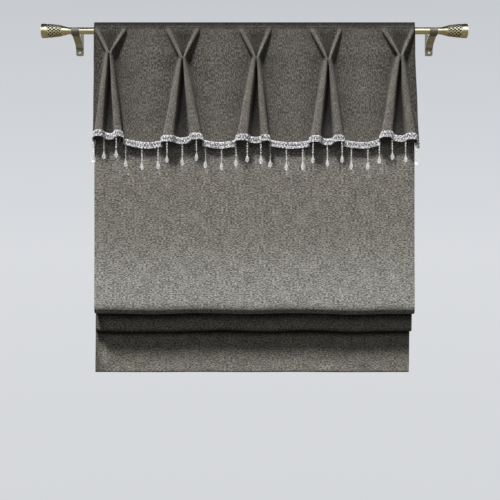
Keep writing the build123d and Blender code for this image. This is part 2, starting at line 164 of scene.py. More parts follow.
floor_bm = bmesh.new()
bmesh.ops.create_grid(floor_bm, x_segments=1, y_segments=1, size=FLOOR_SIZE)
bmesh.ops.translate(floor_bm, vec=(0, FLOOR_BACK - FLOOR_SIZE, FLOOR_HEIGHT), verts=floor_bm.verts)
floor_mesh = mesh_of("floor", floor_bm)
floor = placed("floor", floor_mesh)
floor_paint = bpy.data.materials.new("floor_paint")
floor_paint.use_nodes = True
floor_tree = floor_paint.node_tree
floor_ray = shader_node(floor_tree, "ShaderNodeLightPath").outputs
floor_tone = colour_mix(floor_tree, floor_ray["Is Glossy Ray"], FLOOR_LIT, FLOOR_MIRRORED)
floor_tone = colour_mix(floor_tree, floor_ray["Is Camera Ray"], floor_tone, FLOOR_SEEN)
floor_shader = floor_tree.nodes["Principled BSDF"]
floor_tree.links.new(floor_tone, floor_shader.inputs["Base Color"])
floor_shader.inputs["Roughness"].default_value = FLOOR_ROUGHNESS
floor_mesh.materials.append(floor_paint)

# Wall plates and bracket arms: flat steel strap, bent cold over a former and plated in satin nickel.
# The plate lies on the wall, the arm's foot on the plate, and one screw holds both.
NICKEL = (0.64, 0.64, 0.60)
BRUSH_GLOSS = (0.75, 1.3)
BRUSH_DEPTH = 0.0003
STAIN_GRAINS = (60, 60, 60)
STAIN_SHADE = 0.82
# Painted shade on the straps: their colour is darker against the wall and again towards the cradle round the
# rod, set by distance from the wall.
BRACKET_SHADE_REACH = 0.1
PAINTED_BRACKET_SHADE = (
    (0.05, (0.42, 0.42, 0.40)), (0.14, (1.0, 1.0, 0.97)),
    (0.60, (1.0, 1.0, 0.97)), (0.72, (0.40, 0.40, 0.38)))


def finish(slot, colour, **sockets):
    """A material named after its slot in the record, with its shader's plain sockets set."""
    made = bpy.data.materials.new(slot)
    made.use_nodes = True
    shader = made.node_tree.nodes["Principled BSDF"]
    shader.inputs["Base Color"].default_value = (*colour, 1.0)
    for name, value in sockets.items():
        shader.inputs[name.replace("_", " ")].default_value = value
    return made, made.node_tree, shader


def stretched_noise(tree, source, stretch, detail=2.0):
    """Noise drawn out along the axes, as brushing and threads are; stretch is grains per metre."""
    place = shader_node(tree, "ShaderNodeMapping", {"Vector": source, "Scale": stretch})
    return shader_node(
        tree, "ShaderNodeTexNoise", {"Vector": place.outputs[0], "Scale": 1.0, "Detail": detail}).outputs[0]


def on_piece(tree):
    """The place on a piece, in metres."""
    return shader_node(tree, "ShaderNodeTexCoord").outputs["Object"]


def toned(colour, share):
    """A colour made darker or lighter."""
    return [channel * share for channel in colour]


def vary_tone(tree, shader, pattern, stops):
    """Colours a surface by a pattern; the stops are (place, colour) in order."""
    tree.links.new(graded(tree, pattern, stops), shader.inputs["Base Color"])


def vary_gloss(tree, shader, pattern, least, most):
    """Lets a pattern move a surface's roughness between two values."""
    rough = shader_node(tree, "ShaderNodeMapRange", {0: pattern, 3: least, 4: most})
    tree.links.new(rough.outputs[0], shader.inputs["Roughness"])


def raise_relief(tree, shader, pattern, strength, depth):
    """Gives a surface the fine relief of a pattern; the depth is in metres."""
    bump = shader_node(tree, "ShaderNodeBump", {"Strength": strength, "Distance": depth, "Height": pattern})
    tree.links.new(bump.outputs[0], shader.inputs["Normal"])


def brushed(slot, colour, stretch, rough, relief, metallic=1.0):
    """Plated metal with fine brush marks in its gloss, its tone and its relief."""
    made, tree, shader = finish(slot, colour, Metallic=metallic)
    place = on_piece(tree)
    marks = stretched_noise(tree, place, stretch)
    stains = stretched_noise(tree, place, STAIN_GRAINS, detail=4.0)
    vary_gloss(tree, shader, marks, rough * BRUSH_GLOSS[0], rough * BRUSH_GLOSS[1])
    vary_tone(tree, shader, stains, ((0.3, toned(colour, STAIN_SHADE)), (0.7, colour)))
    raise_relief(tree, shader, marks, relief, BRUSH_DEPTH)
    return made


def dress(node, material):
    """Gives a CAD piece that keeps its own shape its finish."""
    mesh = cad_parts[node].data
    mesh.materials.clear()
    mesh.materials.append(material)


bracket_metal = brushed(
    "bracket_metal", NICKEL, stretch=(120, 900, 900), rough=0.5, relief=0.25, metallic=0.85)
bracket_tree = bracket_metal.node_tree
bracket_colour = bracket_tree.nodes["Principled BSDF"].inputs["Base Color"]
bright = bracket_colour.links[0].from_socket
# Painted shade: the plated tone is multiplied by a ramp over the distance from the wall.
off_wall = shader_node(bracket_tree, "ShaderNodeSeparateXYZ", {0: on_piece(bracket_tree)}).outputs["Y"]
off_wall = number(bracket_tree, "MULTIPLY", off_wall, -1 / BRACKET_SHADE_REACH)
painted_bracket_shade = graded(bracket_tree, off_wall, PAINTED_BRACKET_SHADE)
bracket_tree.links.new(colour_mix(bracket_tree, 1.0, bright, painted_bracket_shade, "MULTIPLY"), bracket_colour)
for side in ("left", "right"):
    dress(f"wall_plate_{side}", bracket_metal)
    dress(f"bracket_arm_{side}", bracket_metal)

# Wall screws: four bright zinc pan-head screws with a cross recess and a rolled thread.
# Two go through each plate, and the lower one clamps the arm's foot as well.
SCREW_HEAD_RADIUS = 0.0045
SCREW_HEAD_HEIGHT = 0.0024
SCREW_NECK_RADIUS = 0.00212
SCREW_THREAD_RADIUS = 0.0020
SCREW_CORE_RADIUS = 0.0015
SCREW_PITCH = 0.0022
SCREW_LENGTH = 0.035
RECESS_RADIUS = 0.0017
RECESS_DEPTH = 0.0014
SCREW_GRIPS = {"upper": 0.002, "lower": 0.0045}
SCREW_STEPS = 24
HEAD_SHAPE = ((0.62, 1.0), (0.88, 0.82), (0.98, 0.5), (1.0, 0.0))
THREAD_SHAPE = ((SCREW_CORE_RADIUS, 0.2), (SCREW_THREAD_RADIUS, 0.55), (SCREW_CORE_RADIUS, 0.9))
RECESS_RIM = 0.98
RECESS_ARM = radians(20)
RECESS_WAIST = 0.42
RECESS_TAPER = 0.7
NECK_SHARE = 0.9
POINT_TURNS = 2
QUARTER = radians(90)
MERGE_WITHIN = 0.000002


def chain(bm, points):
    """A run of edges through the points, each extruded from the one before."""
    tip = bm.verts.new(points[0])
    made = [tip]
    for point in points[1:]:
        tip = bmesh.ops.extrude_vert_indiv(bm, verts=[tip])["verts"][0]
        tip.co = point
        made.append(tip)
    return made


def edges_of(verts):
    """All the edges that meet at the points, each once."""
    return list(dict.fromkeys(edge for vert in verts for edge in vert.link_edges))


def turn_profile(bm, profile, steps):
    """A turned shape about Z from (radius, height) points, with its seam and poles merged."""
    line = chain(bm, [Vector((radius, 0, height)) for radius, height in profile])
    bmesh.ops.spin(
        bm, geom=line + edges_of(line), cent=(0, 0, 0), axis=(0, 0, 1), angle=radians(360), steps=steps,
        use_merge=True)
    bmesh.ops.remove_doubles(bm, verts=bm.verts, dist=MERGE_WITHIN)


def rotate_about(bm, verts, angle, axis):
    """Turns points of a mesh about an axis through the origin."""
    bmesh.ops.rotate(bm, verts=verts, cent=(0, 0, 0), matrix=Matrix.Rotation(angle, 3, axis))


def set_piece(name, bm, material, body, nodes, smooth=True):
    """Makes a finished piece of a mesh, in the place of CAD nodes, riding on a body."""
    bmesh.ops.recalc_face_normals(bm, faces=bm.faces)
    for edge in bm.edges:
        edge.smooth = not edge.is_boundary
    mesh = mesh_of(name, bm)
    mesh.polygons.foreach_set("use_smooth", [smooth] * len(mesh.polygons))
    mesh.materials.append(material)
    piece = placed(name, mesh)
    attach(piece, body)
    if nodes:
        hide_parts(*nodes)
    return piece


def pan_screw(bm, grip):
    """One screw about Z with its seat at zero height, its head upwards and its thread downwards."""
    profile = [(RECESS_RADIUS, SCREW_HEAD_HEIGHT * RECESS_RIM)]
    profile += [(SCREW_HEAD_RADIUS * wide, SCREW_HEAD_HEIGHT * high) for wide, high in HEAD_SHAPE]
    profile += [(SCREW_NECK_RADIUS, 0), (SCREW_NECK_RADIUS, -grip * NECK_SHARE)]
    for turn in range(int(SCREW_LENGTH / SCREW_PITCH) - POINT_TURNS):
        start = -grip - turn * SCREW_PITCH
        profile += [(radius, start - SCREW_PITCH * share) for radius, share in THREAD_SHAPE]
    profile += [(0, -grip - SCREW_LENGTH)]
    turn_profile(bm, profile, SCREW_STEPS)
    rim = [edge for edge in bm.edges if edge.is_boundary]
    walls = bmesh.ops.extrude_edge_only(bm, edges=rim)["geom"]
    floor_ring = [vert for vert in walls if isinstance(vert, bmesh.types.BMVert)]
    for vert in floor_ring + [v for edge in rim for v in edge.verts]:
        turned = atan2(vert.co.y, vert.co.x) % QUARTER
        arm = min(turned, QUARTER - turned) < RECESS_ARM
        reach = RECESS_RADIUS if arm else RECESS_RADIUS * RECESS_WAIST
        vert.co.xy = vert.co.xy.normalized() * reach
    for vert in floor_ring:
        vert.co.z -= RECESS_DEPTH
        vert.co.xy *= RECESS_TAPER
    bmesh.ops.contextual_create(bm, geom=[e for e in bm.edges if e.is_boundary])


screw_steel = brushed("screw_steel", (0.95, 0.95, 0.93), stretch=(500, 500, 500), rough=0.35, relief=0.1)
screws_bm = bmesh.new()
screw_low, screw_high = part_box("wall_screws")
screw_rows = {"upper": screw_high.z - SCREW_HEAD_RADIUS, "lower": screw_low.z + SCREW_HEAD_RADIUS}
for x in (screw_low.x + SCREW_HEAD_RADIUS, screw_high.x - SCREW_HEAD_RADIUS):
    for row, z in screw_rows.items():
        one = bmesh.new()
        pan_screw(one, SCREW_GRIPS[row])
        rotate_about(one, one.verts, QUARTER, "X")
        bmesh.ops.translate(one, verts=one.verts, vec=(x, -SCREW_GRIPS[row], z))
        scratch = mesh_of("one_screw", one)
        screws_bm.from_mesh(scratch)
        bpy.data.meshes.remove(scratch)
set_piece("bracket_screws", screws_bm, screw_steel, "hanging_frame", ["wall_screws"])

# Curtain rod: a drawn steel tube in champagne plating, laid in the two cradles.
# It is polished along its length, so the brush marks run from end to end.
rod_low, rod_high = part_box("curtain_rod")
ROD_MIDDLE = (rod_low + rod_high) / 2
ROD_RADIUS = (rod_high.z - rod_low.z) / 2
CHAMPAGNE = (0.75, 0.72, 0.55)
rod_metal = brushed("rod_metal", CHAMPAGNE, stretch=(25, 1500, 1500), rough=0.17, relief=0.08)
dress("curtain_rod", rod_metal)

# Finials: cast knobs in the rod's plating, turned to a flare that widens outwards.
# A net of crossed ribs stands on the flare, between a plain neck and a plain end band.
FINIAL_PROFILE = (
    (0.000, 0.0104), (0.0005, 0.0112), (0.003, 0.0114), (0.0065, 0.0122), (0.012, 0.0138), (0.0165, 0.0149))
FINIAL_NET = ((0.0206, 0.0155), (0.046, 0.0186), (0.0665, 0.0208))
FINIAL_BAND = (
    (0.0672, 0.0220), (0.0685, 0.0223), (0.082, 0.0230), (0.0840, 0.0228), (0.0850, 0.0218), (0.0845, 0.0150))
NET_ROWS = 80
NET_STEPS = 192
NET_MESHES = 12
NET_BANDS = 4
NET_RELIEF = 0.0012
NET_FADE = 12
RIB_WIDTH = 0.44
RIB_FLANK = 0.22
PATINA = (0.03, 0.02, 0.008, 1)


def clamp(value):
    """A value held between 0 and 1."""
    return min(max(value, 0), 1)


def eased(share):
    """A share that sets off and arrives gently."""
    return share * share * (3 - 2 * share)


def mix(first, second, share):
    """The value at a share of the way from the first to the second."""
    return first + (second - first) * share


def finial_knob(side):
    """One finial, standing off the end of the rod; polish marks all but the dark pits of the net."""
    bm = bmesh.new()
    polish = bm.verts.layers.float.new("polish")
    profile = [(0, 0), *[(radius, along) for along, radius in FINIAL_PROFILE]]
    first, middle, last = FINIAL_NET
    for row in range(NET_ROWS + 1):
        along = mix(first[0], last[0], row / NET_ROWS)
        near, far = (first, middle) if along <= middle[0] else (middle, last)
        profile.append((mix(near[1], far[1], (along - near[0]) / (far[0] - near[0])), along))
    profile += [(radius, along) for along, radius in FINIAL_BAND]
    profile.append((0, FINIAL_BAND[-1][0]))
    turn_profile(bm, profile, NET_STEPS)
    for vert in bm.verts:
        vert[polish] = 1
        share = (vert.co.z - first[0]) / (last[0] - first[0])
        if 0 < share < 1 and vert.co.xy.length > ROD_RADIUS:
            around = atan2(vert.co.y, vert.co.x) / radians(360) * NET_MESHES
            leans = (around + share * NET_BANDS, around - share * NET_BANDS)
            from_rib = min(abs((lean % 1.0) - 0.5) * 2 for lean in leans)
            rise = eased(clamp((RIB_WIDTH - from_rib) / RIB_FLANK))
            fade = min(1, share * NET_FADE, (1 - share) * NET_FADE)
            vert[polish] = 1 - (1 - rise) * fade
            vert.co.xy += vert.co.xy.normalized() * NET_RELIEF * rise * fade
    rotate_about(bm, bm.verts, QUARTER * side, "Y")
    end = Vector((rod_high.x if side > 0 else rod_low.x, ROD_MIDDLE.y, ROD_MIDDLE.z))
    bmesh.ops.translate(bm, verts=bm.verts, vec=end)
    return bm


finial_metal = brushed("finial_metal", CHAMPAGNE, stretch=(400, 400, 400), rough=0.19, relief=0.1)
finial_tree = finial_metal.node_tree
finial_colour = finial_tree.nodes["Principled BSDF"].inputs["Base Color"]
polished = shader_node(finial_tree, "ShaderNodeAttribute", attribute_name="polish").outputs["Fac"]
worn = colour_mix(finial_tree, polished, PATINA, finial_colour.links[0].from_socket)
finial_tree.links.new(worn, finial_colour)
for side, turn in (("left", -1), ("right", 1)):
    set_piece(
        f"net_finial_{side}", finial_knob(turn), finial_metal, "hanging_frame",
        [f"finial_{side}"])

# Battens and bottom bar: pultruded glass-fibre rods across the blind, and a flat mill-finish
# aluminium bar that weighs down the hem. The rods lie in tape sleeves and the bar in the hem.
BATTEN_COUNT = 5
FIBRE_TONES = ((0.0, (0.58, 0.55, 0.44)), (1.0, (0.84, 0.82, 0.74)))
batten_fibre, fibre_tree, fibre_shader = finish("batten_fibre", (0.74, 0.72, 0.62), Roughness=0.5)
fibre_streaks = stretched_noise(fibre_tree, on_piece(fibre_tree), (12, 1800, 1800), detail=3.0)
vary_tone(fibre_tree, fibre_shader, fibre_streaks, FIBRE_TONES)
bar_aluminium = brushed(
    "bar_aluminium", (0.72, 0.72, 0.72), stretch=(30, 1200, 1200), rough=0.4, relief=0.2)
for row in range(1, BATTEN_COUNT + 1):
    dress(f"batten_{row}", batten_fibre)
dress("bottom_bar", bar_aluminium)

# Batten sleeves: woven tape doubled round each rod and sewn to the back of the cloth.
# Three lie flat on the panel, and two are folded over the gathered turns.
SLEEVE_COLUMNS = 60
TAPE_THICKNESS = 0.0008
TAPE = (0.40, 0.39, 0.36)
TAPE_TONES = ((0.3, toned(TAPE, 0.7)), (0.7, toned(TAPE, 1.25)))
PANEL_BATTENS = 3
PANEL_SLEEVE_HALF = (
    (0.0021, 0.013), (0.0021, 0.0095), (0.0021, 0.0068), (0.0013, 0.0055), (-0.0008, 0.0042),
    (-0.0026, 0.0027), (-0.0033, 0.0010))
TURN_SLEEVE_HALF = (
    (0.0033, -0.0128), (0.0033, -0.008), (0.0033, -0.003), (0.0033, 0.0008), (0.0026, 0.0023),
    (0.0012, 0.0031))


def with_mirror(half, out_way, up_way):
    """A section from half its (out, up) points; the other half is turned over where a way is -1."""
    return [*half, *[(out * out_way, up * up_way) for out, up in reversed(half)]]


def batten_body(row):
    """The body that a batten's sleeve and rings ride on; the rows are counted from the top."""
    return f"panel_batten_{row}" if row <= PANEL_BATTENS else "fold_stack"


def new_cloth():
    """An empty mesh that keeps each point's place along the cloth, its shade, and a map of the weave."""
    bm = bmesh.new()
    bm.verts.layers.float.new("run")
    bm.verts.layers.float.new("inside")
    bm.loops.layers.uv.new("weave")
    return bm


def carry_across(bm, line, width, columns, start=0.0):
    """Draws a run of edges out along the blind's width, with a map in metres: across, and along the run."""
    run = bm.verts.layers.float["run"]
    gone = start
    for before, vert in zip([line[0], *line], line):
        gone += (vert.co - before.co).length
        vert[run] = gone
    swept = bmesh.ops.extrude_edge_only(bm, edges=edges_of(line))["geom"]
    far = [vert for vert in swept if isinstance(vert, bmesh.types.BMVert)]
    bmesh.ops.translate(bm, verts=far, vec=(width, 0, 0))
    long_edges = [e for e in bm.edges if abs(e.verts[0].co.x - e.verts[1].co.x) > width / 2]
    bmesh.ops.subdivide_edges(bm, edges=long_edges, cuts=columns - 1, use_grid_fill=True)
    weave = bm.loops.layers.uv["weave"]
    for face in bm.faces:
        for loop in face.loops:
            loop[weave].uv = (loop.vert.co.x, loop.vert[run])
    return gone - start


def thicken(piece, thickness):
    """Gives a sheet its real thickness, half on each side."""
    wall = piece.modifiers.new("thickness", "SOLIDIFY")
    wall.thickness = thickness
    wall.offset = 0


sleeve_tape, tape_tree, tape_shader = finish(
    "sleeve_tape", TAPE, Roughness=0.9, Sheen_Weight=0.1, Specular_IOR_Level=0.2)
tape_place = shader_node(tape_tree, "ShaderNodeUVMap", uv_map="weave").outputs[0]
tape_warp = stretched_noise(tape_tree, tape_place, (90, 1400, 1))
tape_weft = stretched_noise(tape_tree, tape_place, (1400, 90, 1))
tape_threads = number(tape_tree, "MULTIPLY", number(tape_tree, "ADD", tape_warp, tape_weft), 0.5)
vary_tone(tape_tree, tape_shader, tape_threads, TAPE_TONES)
raise_relief(tape_tree, tape_shader, tape_threads, strength=0.5, depth=0.0003)
for row in range(1, BATTEN_COUNT + 1):
    rod_box_low, rod_box_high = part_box(f"batten_{row}")
    middle = (rod_box_low + rod_box_high) / 2
    sleeve_width = rod_box_high.x - rod_box_low.x
    if row <= PANEL_BATTENS:
        section = with_mirror(PANEL_SLEEVE_HALF, 1, -1)
    else:
        section = with_mirror(TURN_SLEEVE_HALF, -1, 1)
    sleeve_bm = new_cloth()
    line = chain(
        sleeve_bm, [Vector((rod_box_low.x, middle.y - out, middle.z + up)) for out, up in section])
    girth = carry_across(sleeve_bm, line, sleeve_width, SLEEVE_COLUMNS)
    sleeve = set_piece(
        f"sewn_sleeve_{row}", sleeve_bm, sleeve_tape, batten_body(row),
        [f"batten_sleeve_{row}"])
    thicken(sleeve, TAPE_THICKNESS)

# Cord rings: small moulded rings, three to each sleeve, sewn to the back of the tape.
# They lie level, so that a lift cord can run up through them.
RING_BAR = 0.0008
RING_SIDES = 10
RING_STEPS = 28
RING_MERGE = 0.000005


def hoop(bm, radius, bar, sides, steps):
    """A level ring of round bar about the origin; gives its points."""
    before = set(bm.verts)
    bar_end = bmesh.ops.create_circle(bm, segments=sides, radius=bar)["verts"]
    rotate_about(bm, bar_end, QUARTER, "X")
    bmesh.ops.translate(bm, verts=bar_end, vec=(radius, 0, 0))
    bmesh.ops.spin(
        bm, geom=bar_end + edges_of(bar_end), cent=(0, 0, 0), axis=(0, 0, 1), angle=radians(360),
        steps=steps, use_merge=True)
    return [vert for vert in bm.verts if vert not in before]


ring_plastic, ring_tree, ring_shader = finish("ring_plastic", (0.80, 0.80, 0.77), Roughness=0.3)
ring_grain = stretched_noise(ring_tree, on_piece(ring_tree), (700, 700, 700), detail=3.0)
vary_gloss(ring_tree, ring_shader, ring_grain, least=0.22, most=0.42)
raise_relief(ring_tree, ring_shader, ring_grain, strength=0.15, depth=0.0002)
for row in range(1, BATTEN_COUNT + 1):
    ring_low, ring_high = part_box(f"cord_rings_{row}")
    radius = (ring_high.y - ring_low.y) / 2 - RING_BAR
    spread = (ring_high.x - ring_low.x) / 2 - radius - RING_BAR
    rings_bm = bmesh.new()
    for place in (-spread, 0, spread):
        ring = hoop(rings_bm, radius, RING_BAR, RING_SIDES, RING_STEPS)
        middle = (ring_low + ring_high) / 2 + Vector((place, 0, 0))
        bmesh.ops.translate(rings_bm, verts=ring, vec=middle)
    bmesh.ops.remove_doubles(rings_bm, verts=rings_bm.verts, dist=RING_MERGE)
    set_piece(
        f"sewn_rings_{row}", rings_bm, ring_plastic, batten_body(row), [f"cord_rings_{row}"])

# Blind cloth: one length of slubby linen. Its top is sewn into a pocket that the rod fills,
# the panel hangs from it, and the foot is gathered into two folds above a hemmed flap.
CLOTH_WIDTH = 1.0
CLOTH_THICKNESS = 0.0012
CLOTH_COLUMNS = 120
PANEL_OUT = 0.0009
POCKET_OUT = 0.012
POCKET_SEAM = -0.026
SPLIT_HEIGHT = -0.760
LINEN = (0.232, 0.218, 0.188)
# Painted shade: the tone that cloth is darkened towards where its mesh marks shade.
PAINTED_SHADE_TONE = (0.10, 0.10, 0.106, 1)
LINEN_THREAD = 480
SLUB_LENGTHS = (0.27, 0.3)
STREAK_LENGTHS = (0.05, 0.05)
LINEN_PATCHES = (34, 26, 1)
PATCH_SHARE = 0.12
STREAK_SHARE = 0.3
FINE_THREAD = 1500
FINE_LENGTH = 170
LINEN_STOPS = (0.61, 0.71, 0.82)
DARK_THREAD = 0.72
PALE_THREAD = 1.4
BELLY_TOP = 0.66
BELLY_LENGTH = 0.206
BELLY_DEPTH = 0.0045
# A stretch: where it starts, over what length, where it ends, over what length.
SLACK = (0.03, 0.25, 1.02, 0.08)
SLOW_WAVE = 0.0014
SLOW_WAVES = (3.2, 2.1)
QUICK_WAVE = 0.0005
QUICK_WAVES = (11.0, 5.0)
WAVE_ROUNDING = 0.0004
# Painted light and shade along each cloth's length, as (place, colour) stops over the shifted and scaled
# length.
PAINTED_LIGHT_SHIFT = 0.03
PAINTED_LIGHT_SCALE = 0.5
LENGTHWISE_PAINTED_LIGHT = {
    # The blind: darker high on the panel, lightest at the foot of the front fold, and darker again on the
    # layers behind it.
    "blind_linen": (
        (0.22, (0.69, 0.69, 0.70)), (0.32, (0.77, 0.78, 0.79)),
        (0.42, (1.03, 1.09, 1.14)), (0.52, (0.79, 0.79, 0.79))),
    # The valance: much darker over the header band above the seam, then painted shade that lightens down the
    # shoulder and the upper valance.
    "valance_linen": (
        (0.0110, (0.18, 0.18, 0.18)), (0.0126, (0.24, 0.24, 0.24)), (0.0144, (0.46, 0.46, 0.46)),
        (0.0164, (0.70, 0.70, 0.70)), (0.05, (0.85, 0.85, 0.85)), (0.10, (1.0, 1.0, 1.0))),
}


def crossed_threads(tree, place, lengths, warp_share, weight=1.0):
    """Uneven warp and weft added up; the lengths say how much coarser each is along its thread."""
    warp = stretched_noise(tree, place, (LINEN_THREAD, LINEN_THREAD * lengths[0], 1), detail=1.0)
    weft = stretched_noise(tree, place, (LINEN_THREAD * lengths[1], LINEN_THREAD, 1), detail=1.0)
    warp = number(tree, "MULTIPLY", warp, weight * warp_share)
    weft = number(tree, "MULTIPLY", weft, weight * (1 - warp_share))
    return number(tree, "ADD", warp, weft)


def linen(slot, colour, warp_share, contrast):
    """Slubby linen, uneven in both threads; the warp's share says which way the slubs mostly run. Its colour
    also carries painted light along its length, and painted shade where the mesh marks it.
    """
    made, tree, shader = finish(slot, colour, Roughness=0.9, Sheen_Weight=0.1, Specular_IOR_Level=0.15)
    place = shader_node(tree, "ShaderNodeUVMap", uv_map="weave").outputs[0]
    slubs = crossed_threads(tree, place, SLUB_LENGTHS, warp_share)
    streaks = crossed_threads(tree, place, STREAK_LENGTHS, warp_share, STREAK_SHARE)
    patches = stretched_noise(tree, place, LINEN_PATCHES, detail=3.0)
    threads = number(tree, "ADD", slubs, number(tree, "MULTIPLY", patches, PATCH_SHARE))
    threads = number(tree, "ADD", threads, streaks)
    tones = (toned(colour, 1 - DARK_THREAD * contrast), colour, toned(colour, 1 + PALE_THREAD * contrast))
    tone = graded(tree, threads, list(zip(LINEN_STOPS, tones)))
    # Painted light and shade along the cloth's length.
    length = shader_node(tree, "ShaderNodeSeparateXYZ", {0: place}).outputs["Y"]
    length = number(tree, "MULTIPLY", number(tree, "ADD", length, PAINTED_LIGHT_SHIFT), PAINTED_LIGHT_SCALE)
    cloth = colour_mix(tree, 1.0, tone, graded(tree, length, LENGTHWISE_PAINTED_LIGHT[slot]), "MULTIPLY")
    # Painted shade, by the amount each point of the mesh carries.
    inside = shader_node(tree, "ShaderNodeAttribute", attribute_name="inside").outputs["Fac"]
    tree.links.new(colour_mix(tree, inside, cloth, PAINTED_SHADE_TONE, "MULTIPLY"), shader.inputs["Base Color"])
    fine_warp = stretched_noise(tree, place, (FINE_THREAD, FINE_LENGTH, 1), detail=1.0)
    fine_weft = stretched_noise(tree, place, (FINE_LENGTH, FINE_THREAD, 1), detail=1.0)
    weave = number(tree, "ADD", number(tree, "MAXIMUM", fine_warp, fine_weft), slubs)
    raise_relief(tree, shader, weave, strength=0.45, depth=0.0006)
    return made


def spot(out, up, x=-CLOTH_WIDTH / 2):
    """A point given by its distance from the rod's axis, out to the room and up."""
    return Vector((x, ROD_MIDDLE.y - out, ROD_MIDDLE.z + up))


def steps_between(first, second, count):
    """Points on the way from the first to the second, without the first."""
    shares = [step / count for step in range(1, count + 1)]
    return [(mix(first[0], second[0], share), mix(first[1], second[1], share)) for share in shares]


def belly(up):
    """How far the panel swells forward at a height, above the front fold."""
    return BELLY_DEPTH * eased(clamp((-up - BELLY_TOP) / BELLY_LENGTH))


def within(place, start, rise, end, fall):
    """How fully a place lies in a stretch that starts and ends over some length, from 0 to 1."""
    return clamp((place - start) / rise) * clamp((end - place) / fall)


def uneven(*place):
    """A smooth, uneven value from -1 to 1, always the same at a place."""
    return noise.noise(Vector(place))


def front_only(wave, rounding):
    """A wave with its hollows smoothed away, so that it swells to the front alone."""
    return (wave + hypot(wave, rounding)) / 2


def ease_cloth(bm):
    """Lets flat cloth hang in slow waves that swell to the front, away from the rods behind it."""
    for vert in bm.verts:
        up = vert.co.z - ROD_MIDDLE.z
        wave = SLOW_WAVE * uneven(vert.co.x * SLOW_WAVES[0], 0.7, up * SLOW_WAVES[1])
        wave += QUICK_WAVE * uneven(vert.co.x * QUICK_WAVES[0], 4.2, up * QUICK_WAVES[1])
        vert.co.y -= within(-up, *SLACK) * (front_only(wave, WAVE_ROUNDING) - WAVE_ROUNDING / 2)


blind_linen = linen("blind_linen", LINEN, warp_share=0.24, contrast=0.80)
POCKET_HALF = (
    (-PANEL_OUT, POCKET_SEAM), (-0.0022, -0.0235), (-0.0055, -0.0175), (-0.0092, -0.0105), (-0.0113, -0.005),
    (-POCKET_OUT, 0.000), (-0.0111, 0.0055), (-0.0083, 0.0098), (-0.0045, 0.0138), (-0.0018, 0.0166),
    (-PANEL_OUT, 0.0195), (-PANEL_OUT, 0.0235), (-0.0005, 0.0248))
pocket_bm = new_cloth()
pocket_line = chain(pocket_bm, [spot(out, up) for out, up in with_mirror(POCKET_HALF, -1, 1)])
pocket_run = carry_across(pocket_bm, pocket_line, CLOTH_WIDTH, CLOTH_COLUMNS)
pocket = set_piece("blind_pocket", pocket_bm, blind_linen, "hanging_frame", [])
thicken(pocket, CLOTH_THICKNESS)

PANEL_ROWS = 56
panel_bm = new_cloth()
panel_points = [(PANEL_OUT, POCKET_SEAM)]
panel_points += steps_between(panel_points[0], (PANEL_OUT, SPLIT_HEIGHT), PANEL_ROWS)
panel_line = chain(panel_bm, [spot(out + belly(up), up) for out, up in panel_points])
panel_run = carry_across(panel_bm, panel_line, CLOTH_WIDTH, CLOTH_COLUMNS)
ease_cloth(panel_bm)
panel = set_piece("blind_panel", panel_bm, blind_linen, "hanging_frame", ["blind_cloth"])
thicken(panel, CLOTH_THICKNESS)
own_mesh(panel)

FRONT_FOLD = (0.884, 0.018)
FRONT_ROWS = 10
FRONT_BEND_ROWS = 14
# Each bend: its edge below the rod, radius, 1 for under or -1 for over, rows up to it, rows round it.
LATER_BENDS = (
    (0.800, 0.002, -1, 6, 8), (0.941, 0.007, 1, 26, 12), (0.815, 0.002, -1, 10, 8), (1.073, 0.003, 1, 50, 8))
HEM_TURN_END = -1.033
HEM_TURN_ROWS = 4
FLAP_STRETCH = (0.56, 0.1, 0.772, 0.012)
FLAP_PUCKER = 0.0026
FLAP_PUCKERS = (34, 26)
PUCKER_ROUNDING = 0.3
SHIFT_START = 0.15
SHIFT_RUN = 0.75
FOLD_SHIFT = 0.007
FOLD_NARROWING = 0.004
# Each crease: where its layer starts and ends along the cloth, height, reach, depth of painted shade.
CREASES = (
    (0.090, 0.140, -0.866, 0.012, 0.35), (0.233, 0.345, -0.887, 0.015, 1.0),
    (0.345, 0.387, -0.942, 0.012, 0.8), (0.510, 0.763, -0.944, 0.020, 1.0))
END_SHADE = 0.6
END_SHADE_START = 0.2
END_SHADE_EDGE = -0.465
END_SHADE_WIDTH = 0.03
EDGE_TOP = 0.80
EDGE_REACH = 0.08
EDGE_SWELL = 0.0012
EDGE_SWELLS = 6.5
EDGE_DIP = 0.0045
EDGE_DIPS = 5.0
SECOND_STRETCH = (0.25, 0.06, 0.50, 0.06)
SECOND_DIP = 0.005
SECOND_DIPS = 6.0


def hang_to(bm, line, up, count, out=None):
    """Carries the cloth straight on to a height, in even steps, as far out as it is or as asked."""
    start = (ROD_MIDDLE.y - line[-1].co.y, line[-1].co.z - ROD_MIDDLE.z)
    end = (start[0] if out is None else out, up)
    for step_out, step_up in steps_between(start, end, count):
        tip = bmesh.ops.extrude_vert_indiv(bm, verts=[line[-1]])["verts"][0]
        tip.co = spot(step_out, step_up)
        line.append(tip)


def roll_back(bm, line, radius, angle, count):
    """Rolls the cloth half round towards the wall, under or over a point behind its end."""
    tip = line[-1]
    before = set(bm.verts)
    bmesh.ops.spin(
        bm, geom=[tip], cent=tip.co + Vector((0, radius, 0)), axis=(1, 0, 0), angle=angle, steps=count)
    made = [vert for vert in bm.verts if vert not in before]
    while made:
        near = [edge.other_vert(line[-1]) for edge in line[-1].link_edges]
        line.append(next(vert for vert in near if vert in made))
        made.remove(line[-1])


